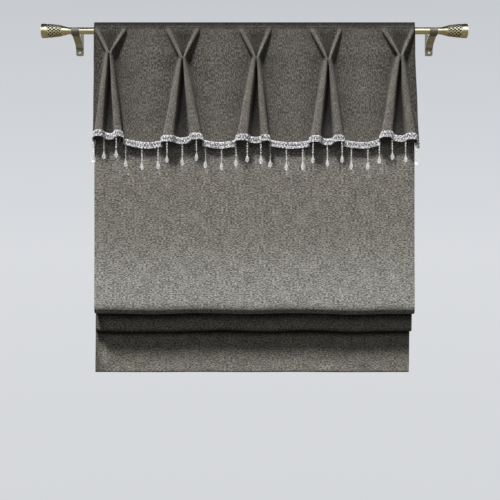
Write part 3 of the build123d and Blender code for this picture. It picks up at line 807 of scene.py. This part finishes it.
folds_bm = new_cloth()
folds_line = [folds_bm.verts.new(spot(PANEL_OUT + belly(SPLIT_HEIGHT), SPLIT_HEIGHT))]
for _, up in steps_between((0, SPLIT_HEIGHT), (0, FRONT_FOLD[1] - FRONT_FOLD[0]), FRONT_ROWS):
    hang_to(folds_bm, folds_line, up, 1, PANEL_OUT + belly(up))
roll_back(folds_bm, folds_line, FRONT_FOLD[1], pi, FRONT_BEND_ROWS)
for edge, radius, way, rows, bend_rows in LATER_BENDS:
    hang_to(folds_bm, folds_line, way * radius - edge, rows)
    roll_back(folds_bm, folds_line, radius, way * pi, bend_rows)
hang_to(folds_bm, folds_line, HEM_TURN_END, HEM_TURN_ROWS)
folds_run = carry_across(folds_bm, folds_line, CLOTH_WIDTH, CLOTH_COLUMNS, panel_run)
run_layer = folds_bm.verts.layers.float["run"]
inside_layer = folds_bm.verts.layers.float["inside"]
for vert in folds_bm.verts:
    run = vert[run_layer] - panel_run
    # Painted shade in the creases between the fold layers.
    for layer_start, layer_end, crease, reach, depth in CREASES:
        if layer_start < run < layer_end:
            from_crease = abs(vert.co.z - ROD_MIDDLE.z - crease)
            vert[inside_layer] = depth * max(1 - from_crease / reach, 0)
    # Painted shade on the left ends of the back layers, where the key light reaches past the front fold.
    if run > END_SHADE_START:
        near_end = clamp((END_SHADE_EDGE - vert.co.x) / END_SHADE_WIDTH)
        vert[inside_layer] = max(vert[inside_layer], END_SHADE * near_end)
    layer_share = clamp((run - SHIFT_START) / SHIFT_RUN)
    vert.co.x -= layer_share * (FOLD_SHIFT + FOLD_NARROWING * (vert.co.x / CLOTH_WIDTH + 0.5))
    near_edge = clamp((-vert.co.z + ROD_MIDDLE.z - EDGE_TOP) / EDGE_REACH) * (1 - layer_share)
    vert.co.y -= near_edge * EDGE_SWELL * uneven(vert.co.x * EDGE_SWELLS, 2.0, 0.4)
    vert.co.z += near_edge * EDGE_DIP * uneven(vert.co.x * EDGE_DIPS, 7.0, 1.3)
    vert.co.z += within(run, *SECOND_STRETCH) * SECOND_DIP * uneven(vert.co.x * SECOND_DIPS, 9.0, 2.2)
    pucker = uneven(vert.co.x * FLAP_PUCKERS[0], 5.5, vert.co.z * FLAP_PUCKERS[1])
    vert.co.y -= within(run, *FLAP_STRETCH) * FLAP_PUCKER * front_only(pucker, PUCKER_ROUNDING)
ease_cloth(folds_bm)
folds = set_piece("blind_folds", folds_bm, blind_linen, "fold_stack", [])
thicken(folds, CLOTH_THICKNESS)

# Valance: a second length of the same linen, sewn to the header in five box pleats.
# Each pleat's two edges are pinched together at the front and spread into soft ridges below.
PLEAT_FACTS = ("middle", "tops", "spreads", "lifts", "pinch")
PLEATS = [dict(zip(PLEAT_FACTS, facts)) for facts in (
    (-0.450, (0.0455, 0.0520), (0.048, 0.040), (0.039, 0.028, 0.038), 0.073),
    (-0.223, (0.0520, 0.0520), (0.064, 0.060), (0.022, 0.015, 0.029), 0.089),
    (0.006, (0.0540, 0.0460), (0.062, 0.040), (0.026, 0.017, 0.024), 0.089),
    (0.229, (0.0570, 0.0420), (0.056, 0.048), (0.021, 0.011, 0.023), 0.093),
    (0.452, (0.0570, 0.0455), (0.060, 0.050), (0.036, 0.021, 0.029), 0.082),
)]
TOP_WIDTH = 0.0455
VALANCE_EDGES = (-0.500, 0.500)
VALANCE_FLARES = (-0.004, 0.014)
FLARE_TOP = -0.08
VALANCE_DROP = 0.367
HEADER_SEAM = 0.0095
SHOULDER = -0.006
PINCH_REACH = 0.018
HEM_REACH = 0.018
PANEL_SWELL = 0.003
SWELL_LENGTH = 0.08
LOOSE_BELOW = 0.12
LOOSE_SIDEWAYS = 0.0022
SIDEWAYS_WAVES = (14, 9)
LOOSE_FORWARDS = 0.0018
FORWARDS_WAVES = (17, 11)
END_COLUMNS = 3
VALANCE_END_SHADE = 0.6
ROUNDING_LEVELS = 2
VALANCE_LINEN = (0.149, 0.139, 0.120)
HEADER_SECTION = (
    (0.025, 0.0060), (0.0195, 0.0064), (0.0165, 0.0070), (0.0138, 0.0079), (0.0115, 0.0090), (0.009, 0.0105),
    (0.0055, 0.0126), (0.0, 0.0139), (SHOULDER, 0.0143), (-VALANCE_DROP, 0.0090))
SEAM_OUTLINE = (
    (0, 0.0035), (0.018, 0.0035), (0.033, 0.0034), (0.0355, 0.0036), (0.0405, 0.0037), (0.0448, 0.0034),
    (0.0455, 0.0015), (0.047, 0))
SHOULDER_OUTLINE = (
    (0, 0.0050), (0.018, 0.0050), (0.0315, 0.0028), (0.0340, 0.0062), (0.0390, 0.0070), (0.0446, 0.0056),
    (0.0450, 0.0020), (0.0475, 0))
PINCH_OUTLINE = (
    (0, -0.12), (0.0005, -0.08), (0.0010, 0.06), (0.0009, 0.95), (0.0040, 1.02), (0.0092, 0.88),
    (0.0114, 0.28), (0.021, 0))
HEM_OUTLINE = (
    (0, 0.22), (0.28, 0.24), (0.41, 0.50), (0.46, 0.97), (0.66, 1.02), (0.99, 0.98), (1.09, 0.50), (0.92, 0))
# Painted shade across each half pleat from its middle outwards: full in the valley, none on the crest, darker
# at the root, fading over the panel.
PLEAT_SHADE_ACROSS = (1, 1, 0.55, 0.03, 0, 0.14, 0.42, 0.58, 0.42, 0.28, 0.17)
VALLEY_LIFT = (1.0, 0.8, 0.45, 0.1, 0, 0, 0, 0)
RIDGE_LIFT = (0, 0.2, 0.55, 0.9, 1.0, 1.0, 0.7, 0.36)
PANEL_PLACES = ((0.22, 0.35), (0.55, 0.85), (1.0, 1.0))
VALANCE_HEIGHTS = (
    0.025, 0.0195, 0.0165, 0.0138, 0.0115, 0.0095, 0.0070, 0.003, SHOULDER, -0.018, -0.032, -0.046,
    -0.058, -0.068, -0.076, -0.083, -0.091, -0.102, -0.120, -0.145, -0.175, -0.210, -0.250, -0.290,
    -0.325, -0.349, -VALANCE_DROP)
# Painted shade down the valance, row by row: none on the header, strongest below the pinch.
PLEAT_SHADE_DOWN = (
    0, 0, 0, 0, 0, 0, 0.3, 0.45, 0.5, 0.52, 0.54, 0.56, 0.6, 0.7, 0.8, 1, 1, 1, 1, 1, 1, 1, 1, 0.95,
    0.85, 0.8, 0.8)


def share_down(top, bottom, up):
    """How far a height is on its way down from a top to a bottom, from 0 to 1."""
    return clamp((top - up) / (top - bottom))


def standing(up):
    """How far the valance's flat panels stand out from the rod's axis at a height."""
    for (top, near), (bottom, far) in zip(HEADER_SECTION, HEADER_SECTION[1:]):
        if up >= bottom:
            return mix(near, far, share_down(top, bottom, up))
    return HEADER_SECTION[-1][1]


def half_pleat(pleat, side, up):
    """Half a pleat, as (x, out, rise) from its middle outwards."""
    swelling = share_down(HEADER_SEAM, SHOULDER, up)
    gather = share_down(SHOULDER, -pleat["pinch"], up)
    fall = share_down(-pleat["pinch"], -VALANCE_DROP, up)
    flat = 0.0 if up > HEADER_SEAM else 1.0
    widening = pleat["tops"][side] / TOP_WIDTH
    spread = pleat["spreads"][side]
    ridge_lift = pleat["lifts"][2 * side]
    made = []
    for seam, shoulder, pinch, hem, low_lift, high_lift in zip(
            SEAM_OUTLINE, SHOULDER_OUTLINE, PINCH_OUTLINE, HEM_OUTLINE, VALLEY_LIFT, RIDGE_LIFT):
        x = mix(mix(seam[0], shoulder[0], swelling) * widening, pinch[0], gather)
        x = mix(x, hem[0] * spread, fall)
        reach = mix(mix(seam[1], shoulder[1], swelling), pinch[1] * PINCH_REACH, gather)
        reach = mix(reach, hem[1] * HEM_REACH, fall)
        made.append((x, reach * flat, (pleat["lifts"][1] * low_lift + ridge_lift * high_lift) * fall))
    return made


def valance_columns(up):
    """All the columns of the valance at a height, from the left edge to the right edge."""
    fall = share_down(FLARE_TOP, -VALANCE_DROP, up)
    swell = PANEL_SWELL * share_down(HEADER_SEAM, HEADER_SEAM - SWELL_LENGTH, up) * (1 - fall)
    row = []
    for nth, pleat in enumerate(PLEATS):
        for side, sign in ((0, -1), (1, 1)):
            outer = not 0 <= nth + sign < len(PLEATS)
            half = half_pleat(pleat, side, up)
            if outer:
                edge = VALANCE_EDGES[side] + VALANCE_FLARES[side] * fall
            else:
                edge = (pleat["middle"] + PLEATS[nth + sign]["middle"]) / 2
            root_x = half[-1][0]
            end_x = abs(edge - pleat["middle"])
            for place, rise in PANEL_PLACES:
                half.append((
                    mix(root_x, end_x, place), 0 if outer else swell * rise, half[-1][2] * (1 - place)))
            half = [(pleat["middle"] + sign * x, out, rise) for x, out, rise in half]
            half = half[::-1] if sign < 0 else half
            row += half[1:] if row else half
    return [(x, standing(up) + out, up + rise) for x, out, rise in row]


def settled(thing):
    """The final mesh of an object with a live modifier or bevel; the object itself is removed."""
    mesh = bpy.data.meshes.new_from_object(thing.evaluated_get(bpy.context.evaluated_depsgraph_get()))
    bpy.data.objects.remove(thing)
    return mesh


valance_linen = linen("valance_linen", VALANCE_LINEN, warp_share=0.76, contrast=0.64)
valance_rows = [valance_columns(up) for up in VALANCE_HEIGHTS]
column_count = len(valance_rows[0])
cage_bm = bmesh.new()
bmesh.ops.create_grid(cage_bm, x_segments=column_count - 1, y_segments=len(valance_rows) - 1, size=1)
weave = cage_bm.loops.layers.uv.new("weave")
inside = cage_bm.verts.layers.float.new("inside")
cage_bm.verts.index_update()
half_count = len(PLEAT_SHADE_ACROSS)
cut_x = [0.0]
for a, b in zip(valance_rows[-1], valance_rows[-1][1:]):
    cut_x.append(cut_x[-1] + Vector((b[0] - a[0], b[1] - a[1])).length)
for vert in cage_bm.verts:
    row, column = divmod(vert.index, column_count)
    x, out, up = valance_rows[row][column]
    loose = clamp(-up / LOOSE_BELOW)
    x += loose * LOOSE_SIDEWAYS * uneven(x * SIDEWAYS_WAVES[0], up * SIDEWAYS_WAVES[1], 3.1)
    out += loose * LOOSE_FORWARDS * uneven(x * FORWARDS_WAVES[0], up * FORWARDS_WAVES[1], 8.6)
    vert.co = spot(out, up, x)
    # Painted shade from the pleat and row tables, and on the valance's end columns.
    around = (column + half_count - 1) % (2 * half_count - 2)
    vert[inside] = PLEAT_SHADE_ACROSS[min(around, 2 * half_count - 2 - around)] * PLEAT_SHADE_DOWN[row]
    if column < END_COLUMNS or column >= column_count - END_COLUMNS:
        vert[inside] = VALANCE_END_SHADE
    for loop in vert.link_loops:
        loop[weave].uv = (cut_x[column], -VALANCE_HEIGHTS[row])
cage = placed("valance_cage", mesh_of("valance_cage", cage_bm))
rounding = cage.modifiers.new("rounding", "SUBSURF")
rounding.levels = ROUNDING_LEVELS
rounding.render_levels = ROUNDING_LEVELS
rounded = settled(cage)
valance_bm = bmesh.new()
valance_bm.from_mesh(rounded)
valance = set_piece(
    "pleated_valance", valance_bm, valance_linen, "hanging_frame", ["valance"])
thicken(valance, CLOTH_THICKNESS)

# Pleat stitches: waxed linen thread, passed several times round the two edges of each pleat
# where they meet at the front, and knotted behind. It holds the pinch for good.
STITCH_RADIUS = 0.0004
STITCH_TURNS = 4
STITCH_PITCH = 0.0011
STITCH_REACH = 0.0032
STITCH_SIDES = 6
STITCH_STEPS = 20
STITCH_LEAN = radians(9)
PINCH_WIDE = 0.006
PINCH_HIGH = 0.005
THREAD_TONES = ((0.3, (0.10, 0.095, 0.083)), (0.7, (0.26, 0.25, 0.22)))
tack_thread, thread_tree, thread_shader = finish(
    "tack_thread", VALANCE_LINEN, Roughness=0.75, Sheen_Weight=0.1, Specular_IOR_Level=0.3)
thread_twist = stretched_noise(thread_tree, on_piece(thread_tree), (2600, 2600, 900))
vary_tone(thread_tree, thread_shader, thread_twist, THREAD_TONES)
raise_relief(thread_tree, thread_shader, thread_twist, strength=0.4, depth=0.0002)
stitches_bm = bmesh.new()
for pleat in PLEATS:
    pinch = spot(0, -pleat["pinch"], pleat["middle"])
    pinch.y = min(
        vert.co.y for vert in rounded.vertices
        if abs(vert.co.x - pinch.x) < PINCH_WIDE and abs(vert.co.z - pinch.z) < PINCH_HIGH)
    for turn in range(STITCH_TURNS):
        stitch = hoop(stitches_bm, STITCH_REACH, STITCH_RADIUS, STITCH_SIDES, STITCH_STEPS)
        rotate_about(stitches_bm, stitch, STITCH_LEAN * (-1) ** turn, "Y")
        height = (turn - (STITCH_TURNS - 1) / 2) * STITCH_PITCH
        bmesh.ops.translate(
            stitches_bm, verts=stitch, vec=pinch + Vector((0, STITCH_REACH - STITCH_RADIUS * 2, height)))
bmesh.ops.remove_doubles(stitches_bm, verts=stitches_bm.verts, dist=RING_MERGE)
stitches = set_piece(
    "pleat_stitches", stitches_bm, tack_thread, "hanging_frame", ["pleat_tacks"])

# Beaded braid: an open silver gimp, two waved cords plaited between two straight edge cords.
# It is sewn along the valance's hem, reaches a little below it, and carries the bead strands.
BRAID_TOP = 0.016
BRAID_OVERHANG = 0.004
GIMP_STAND = 0.0021
GIMP_WAVE = 0.0105
GIMP_STEPS = 12
GIMP_SWING = 0.0078
GIMP_WEAVE = 0.0008
GIMP_RADIUS = 0.0014
EDGE_RADIUS = 0.0015
HEM_CLIMB_ROWS = 4
HEM_TOLERANCE = 0.0005
RUN_TOLERANCE = 0.000001
EDGE_WIGGLE = 0.0004
SILVER_TONES = ((0.42, (0.17, 0.17, 0.19)), (0.54, (0.96, 0.96, 0.98)))
braid_silver, silver_tree, silver_shader = finish(
    "braid_silver", (0.7, 0.7, 0.73), Roughness=0.5, Sheen_Weight=0.2, Metallic=0.1)
silver_place = on_piece(silver_tree)
silver_threads = stretched_noise(silver_tree, silver_place, (300, 300, 300))
vary_tone(silver_tree, silver_shader, silver_threads, SILVER_TONES)
silver_twist = stretched_noise(silver_tree, silver_place, (1800, 1800, 1800))
raise_relief(silver_tree, silver_shader, silver_twist, strength=0.5, depth=0.0004)

hem_bm = bmesh.new()
hem_bm.from_mesh(rounded)
weave = hem_bm.loops.layers.uv["weave"]
hem_places = {}
for face in hem_bm.faces:
    for loop in face.loops:
        if loop.vert.is_boundary and loop[weave].uv.y > VALANCE_DROP - HEM_TOLERANCE:
            hem_places[loop.vert] = loop[weave].uv.x


def climb(vert, rows):
    """The direction up the cloth from a point of its hem, over a number of rows."""
    start = vert.co
    edge = next(edge for edge in vert.link_edges if edge.other_vert(vert) not in hem_places)
    vert = edge.other_vert(vert)
    for _ in range(rows - 1):
        faces = set(edge.link_faces)
        edge = next(edge for edge in vert.link_edges if not faces & set(edge.link_faces))
        vert = edge.other_vert(vert)
    return (vert.co - start).normalized()


hem_order = sorted(hem_places, key=hem_places.get)
hem_points = [vert.co.copy() for vert in hem_order]
hem_ups = [climb(vert, HEM_CLIMB_ROWS) for vert in hem_order]
hem_fronts = []
hem_befores = [hem_points[0], *hem_points]
hem_afters = [*hem_points[1:], hem_points[-1]]
for before, after, up_hem in zip(hem_befores, hem_afters, hem_ups):
    hem_fronts.append((after - before).cross(up_hem).normalized())
hem_runs = [0.0]
for before, after in zip(hem_points, hem_points[1:]):
    hem_runs.append(hem_runs[-1] + (after - before).length)
hem_bm.free()
HEM_LENGTH = hem_runs[-1]


def on_braid(along, up, out):
    """A point on the braid: along the hem, up from the hem, and out from the cloth."""
    along = min(max(along, 0), HEM_LENGTH - RUN_TOLERANCE)
    step = bisect(hem_runs, along) - 1
    share = (along - hem_runs[step]) / (hem_runs[step + 1] - hem_runs[step])
    point = hem_points[step].lerp(hem_points[step + 1], share)
    rise = hem_ups[step].lerp(hem_ups[step + 1], share)
    front = hem_fronts[step].lerp(hem_fronts[step + 1], share).normalized()
    return point + rise * up + front * out


def plaited_cord(bm, points, radius):
    """Adds a round cord along the points to a mesh."""
    line = bpy.data.curves.new("cord_line", "CURVE")
    line.dimensions = "3D"
    line.bevel_depth = radius
    line.bevel_resolution = 1
    line.use_fill_caps = True
    spline = line.splines.new("POLY")
    spline.points.add(len(points) - 1)
    for knot, point in zip(spline.points, points):
        knot.co = (*point, 1)
    tube = settled(placed("cord_line", line))
    bm.from_mesh(tube)
    bpy.data.meshes.remove(tube)


braid_bm = bmesh.new()
wave_points = int(HEM_LENGTH / GIMP_WAVE * GIMP_STEPS)
swing_middle = (BRAID_TOP - BRAID_OVERHANG) / 2
for phase in (0, pi):
    cord_points = []
    for step in range(wave_points + 1):
        turned = 2 * pi * step / GIMP_STEPS + phase
        lift = swing_middle + GIMP_SWING * sin(turned)
        stand = GIMP_STAND + GIMP_WEAVE * sin(turned * 2 + phase)
        cord_points.append(on_braid(HEM_LENGTH * step / wave_points, lift, stand))
    plaited_cord(braid_bm, cord_points, GIMP_RADIUS)
edge_points = wave_points // 2
for lift in (EDGE_RADIUS - BRAID_OVERHANG, BRAID_TOP - EDGE_RADIUS):
    cord_points = []
    for step in range(edge_points + 1):
        wiggle = EDGE_WIGGLE * sin(8 * pi * step / GIMP_STEPS)
        cord_points.append(on_braid(HEM_LENGTH * step / edge_points, lift + wiggle, GIMP_STAND))
    plaited_cord(braid_bm, cord_points, EDGE_RADIUS)
braid = set_piece("gimp_braid", braid_bm, braid_silver, "hanging_frame", ["beaded_braid"])

# Bead strands: glass beads on a fine nylon thread, hung from the braid's lower edge at even steps.
# Three seed beads and a larger one take turns down to a long drop, cut with flat facets.
STRAND_COUNT = 26
STRAND_STEM = 0.040
SMALL_BEAD = 0.0005
LARGE_BEAD = 0.0026
BEAD_ORDER = (SMALL_BEAD, SMALL_BEAD, SMALL_BEAD, LARGE_BEAD)
BEAD_FACETS = 8
BEAD_RINGS = 5
DROP_PROFILE = (
    (0.0, 0.0), (0.0011, -0.0006), (0.0014, -0.004), (0.0030, -0.009), (0.0052, -0.0155), (0.0060, -0.0190),
    (0.0053, -0.0230), (0.0032, -0.0262), (0.0, -0.0282))
STRAND_SWAY = radians(1.6)
CRYSTAL_TONES = ((0.0, (0.62, 0.63, 0.65)), (1.0, (0.95, 0.95, 0.96)))
bead_crystal, crystal_tree, crystal_shader = finish(
    "bead_crystal", (0.82, 0.84, 0.86), Roughness=0.08, IOR=1.52, Transmission_Weight=0.7)
crystal_cloud = stretched_noise(crystal_tree, on_piece(crystal_tree), (160, 160, 160), detail=3.0)
vary_gloss(crystal_tree, crystal_shader, crystal_cloud, least=0.03, most=0.16)
vary_tone(crystal_tree, crystal_shader, crystal_cloud, CRYSTAL_TONES)
strands = []
for count in range(STRAND_COUNT):
    top = on_braid(HEM_LENGTH * (count + 0.5) / STRAND_COUNT, EDGE_RADIUS - BRAID_OVERHANG, GIMP_STAND)
    strand_bm = bmesh.new()
    turn_profile(strand_bm, DROP_PROFILE, BEAD_FACETS)
    bmesh.ops.translate(strand_bm, verts=strand_bm.verts, vec=(0, 0, -STRAND_STEM))
    low = -STRAND_STEM
    bead = 0
    while low < -LARGE_BEAD:
        radius = BEAD_ORDER[bead % len(BEAD_ORDER)]
        bead += 1
        sphere = bmesh.ops.create_uvsphere(
            strand_bm, u_segments=BEAD_FACETS, v_segments=BEAD_RINGS, radius=radius)["verts"]
        bmesh.ops.translate(strand_bm, verts=sphere, vec=(0, 0, low + radius))
        low += 2 * radius
    sways = {"Y": uneven(count * 3.7, 0.4, 1.0), "X": uneven(count * 5.1, 2.4, 3.0)}
    for axis, sway in sways.items():
        rotate_about(strand_bm, strand_bm.verts, STRAND_SWAY * sway, axis)
    bmesh.ops.translate(strand_bm, verts=strand_bm.verts, vec=top)
    strands.append(set_piece(
        f"bead_strand_{count + 1:02d}", strand_bm, bead_crystal, "hanging_frame",
        [f"bead_drop_{count + 1:02d}"], smooth=False))
    strands[-1].visible_shadow = False
